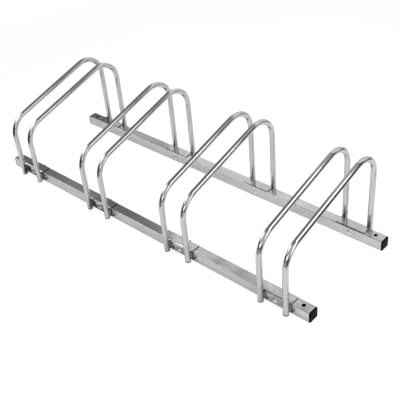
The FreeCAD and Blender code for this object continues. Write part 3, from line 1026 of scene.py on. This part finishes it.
def mirrored_floor():
    """Pale in the light, with painted shade beyond it, between the front legs and round each foot."""
    sheet = pale_plane("floor_sheet", -SHEET_DEPTH)
    paper = Finish("sheet_pale", MATT_GLOW)
    x, y = paper.axes(paper.place())[:2]
    beyond = x.between(0.62, 0.80).higher(1 - (y + 0.3 * x).between(-0.68, -0.44))
    beside_place = nearest_place(x + LOOP_RADIUS)
    between_legs = 1 - beside_place.between(LOOP_OFFSET - 3 * LOOP_RADIUS, LOOP_OFFSET - LOOP_RADIUS)
    in_front = 1 - (y + LEG_Y).size().between(1.8 * LOOP_RADIUS, 4 * LOOP_RADIUS)
    darker_left = 1 - 0.7 * x.between(-0.35, 0.25)
    to_leg_x = nearest_place(x) - LOOP_OFFSET
    to_leg_y = y.size() - LEG_Y
    from_leg = to_leg_x * to_leg_x + to_leg_y * to_leg_y
    foot = 1 - from_leg.between(LOOP_RADIUS ** 2, (1.6 * LOOP_RADIUS) ** 2)
    # Painted shade on the mirrored sheet: between the front legs, round each foot and beyond the light,
    # stronger to the left.
    shade = (between_legs * in_front * darker_left).higher(foot * 0.9)
    unlit = beyond.higher(shade)
    paper.set("Base Color", paper.colour(unlit, 0.85, 0.08))
    paper.set("Emission Color", paper.colour(unlit, 0.10, 0.02))
    sheet.data.materials.append(paper.material)
    return sheet


def nearest_place(x):
    """How far x is from the middle of the nearest wheel place."""
    from_left = x + 2 * PLACE_PITCH
    return from_left.remainder(PLACE_PITCH).distance(PLACE_PITCH / 2)


def pale_plane(name, height):
    deselect()
    bpy.ops.mesh.primitive_plane_add(size=FLOOR_SIDE, location=(0, 0, height))
    plane = begin(name)
    deselect()
    return plane


STUDIO_CENTRE = Vector((0, 0, 0.1))


def soft_box(name, azimuth, elevation, distance, size, radiance):
    """A soft light that faces the rack; azimuth 0 is behind it, and 90 is on its right."""
    lamp = bpy.data.lights.new(name, "AREA")
    lamp.shape = "RECTANGLE"
    lamp.size, lamp.size_y = size
    lamp.energy = radiance * size[0] * size[1] * math.pi
    box = bpy.data.objects.new(name, lamp)
    bpy.context.scene.collection.objects.link(box)
    face_rack(box, azimuth, elevation, distance)
    box.visible_camera = False
    return box


def dark_card(name, azimuth, elevation, distance, size):
    """A dull black card, unseen by the camera; the tubes mirror it as their dark lines."""
    deselect()
    bpy.ops.mesh.primitive_plane_add(size=1)
    bpy.context.object.scale = (*size, 1)
    face_rack(bpy.context.object, azimuth, elevation, distance)
    card = begin(name)
    black = Finish(name + "_black", {"Base Color": (0.01, 0.01, 0.01, 1), "Roughness": 1.0})
    card.data.materials.append(black.material)
    card.visible_camera = False
    card.visible_shadow = False


def face_rack(thing, azimuth, elevation, distance):
    """Places a light or card round the rack, and turns it towards the rack."""
    turned, raised = math.radians(azimuth), math.radians(elevation)
    level = math.cos(raised)
    outward = Vector((math.sin(turned) * level, math.cos(turned) * level, math.sin(raised)))
    thing.rotation_euler = (-outward).to_track_quat("-Z", "Y").to_euler()
    thing.location = STUDIO_CENTRE + outward * distance


def studio():
    """A dim room with soft boxes and dark cards round the rack, and two lights that nothing mirrors."""
    world = bpy.data.worlds.new("studio")
    bpy.context.scene.world = world
    world.use_nodes = True
    tree = world.node_tree
    background = tree.nodes["Background"]
    coordinates = tree.nodes.new("ShaderNodeTexCoord")
    split = tree.nodes.new("ShaderNodeSeparateXYZ")
    ramp = tree.nodes.new("ShaderNodeValToRGB")
    tree.links.new(coordinates.outputs["Generated"], split.inputs[0])
    tree.links.new(split.outputs["Z"], ramp.inputs["Fac"])
    tree.links.new(ramp.outputs["Color"], background.inputs["Color"])
    ramp.color_ramp.elements[0].position = 0.0
    ramp.color_ramp.elements[0].color = (0.07, 0.07, 0.07, 1)
    ramp.color_ramp.elements[1].position = 0.5
    ramp.color_ramp.elements[1].color = (0.22, 0.22, 0.22, 1)
    background.inputs["Strength"].default_value = 1.0
    soft_box("card_back_left", -33, 25, 1.0, (0.52, 0.88), 0.78)
    soft_box("card_top_left", -29, 51, 1.0, (0.24, 0.10), 0.45)
    soft_box("card_low_left", -55, 15, 1.0, (0.20, 0.22), 0.50)
    soft_box("card_back", 10, 30, 1.0, (0.84, 1.05), 0.72)
    soft_box("card_back_right", 46, 25, 1.02, (0.36, 0.80), 0.80)
    soft_box("card_high", 30, 66, 1.0, (0.7, 0.35), 0.30)
    soft_box("box_right", 84, 45, 1.0, (0.42, 0.56), 2.3)
    soft_box("strip_right", 99, 15, 1.0, (0.30, 0.60), 2.1)
    soft_box("card_right_front", 124, 35, 1.05, (0.5, 0.9), 0.5)
    soft_box("card_front", 162, 38, 1.05, (0.5, 0.8), 0.42)
    soft_box("card_low_front", 158, 0, 1.05, (1.0, 0.20), 0.55)
    soft_box("patch_front", 151, 17, 1.0, (0.60, 0.24), 2.0)
    soft_box("box_front_left", -139, 43, 1.0, (0.72, 0.58), 2.2)
    soft_box("box_left", -116, 34, 1.0, (0.22, 0.38), 2.2)
    soft_box("patch_left", -106, 23, 1.0, (0.42, 0.24), 2.8)
    soft_box("card_left", -82, 32, 1.05, (0.36, 0.24), 0.40)
    overhead = soft_box("overhead", 0, 89, 1.5, (1.8, 1.2), 0.5)
    key = soft_box("key_right", 78, 46, 2.6, (0.75, 0.75), 7.5)
    for lamp in (overhead, key):
        lamp.visible_glossy = False
    dark_card("flag_front_left", -146, 1, 0.98, (0.78, 0.50))
    dark_card("flag_left", -119, 1, 0.98, (0.60, 0.50))
    dark_card("flag_right", 69, 1, 1.1, (0.30, 0.22))


# ---- The whole scene ----

def settle(piece, slot_name, finish, *nodes):
    """Gives a piece its finish, and has it ride with the rack in place of its plain solids."""
    piece.data.materials.clear()
    piece.data.materials.append(finish)
    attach(piece, "root")
    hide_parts(*nodes)


def build_rack():
    """Every piece, in its finish, in place of its solid."""
    chrome = chrome_finish()
    rails = rail_finish()
    brackets = {side_name: bracket_finish(side_name) for side_name in SIDES}
    bolt_zinc = zinc_finish("bolt_steel", 0.72, 0.54, 0.02, (500, 60, 500))
    washer_zinc = zinc_finish("washer_steel", (0.60, 0.605, 0.61), (0.50, 0.505, 0.52), 0.22,
                              (400, 400, 400))
    nut_zinc = zinc_finish("nut_steel", (0.60, 0.60, 0.59), 0.50, 0.20, (400, 400, 400))
    welds = weld_finish()
    plastic = cap_finish()

    first_x = PLACES[0] - LOOP_OFFSET
    first = wheel_loop("loop_1_left", first_x)
    for number, x in enumerate(PLACES, 1):
        for hand_name, hand in HANDS.items():
            name = "loop_" + str(number) + "_" + hand_name
            moved = x + hand * LOOP_OFFSET - first_x
            loop = copy_of(first, name, x=moved) if moved > MM else first
            settle(loop, "loop_chrome", chrome, "wheel_loop_" + str(number) + "_" + hand_name)

    for side_name in SIDES:
        settle(rail(side_name), "rail_steel", rails, side_name + "_rail")
        for hand_name in HANDS:
            cap = end_cap(side_name, hand_name)
            settle(cap, "cap_plastic", plastic, "end_cap_" + side_name + "_" + hand_name)
        for number in range(1, len(PLACES) + 1):
            settle(bracket(side_name, number), "bracket_steel", brackets[side_name],
                   side_name + "_bracket_" + str(number))
        settle(bolts(side_name), "bolt_steel", bolt_zinc, side_name + "_bolts")
        settle(washers(side_name), "washer_steel", washer_zinc, side_name + "_washers")
        settle(nuts(side_name), "nut_steel", nut_zinc, side_name + "_nuts")
        settle(weld_beads(side_name), "weld_steel", welds, side_name + "_weld_beads")


make_camera()
build_rack()
floor()
studio()
bpy.context.scene.view_settings.view_transform = "Standard"
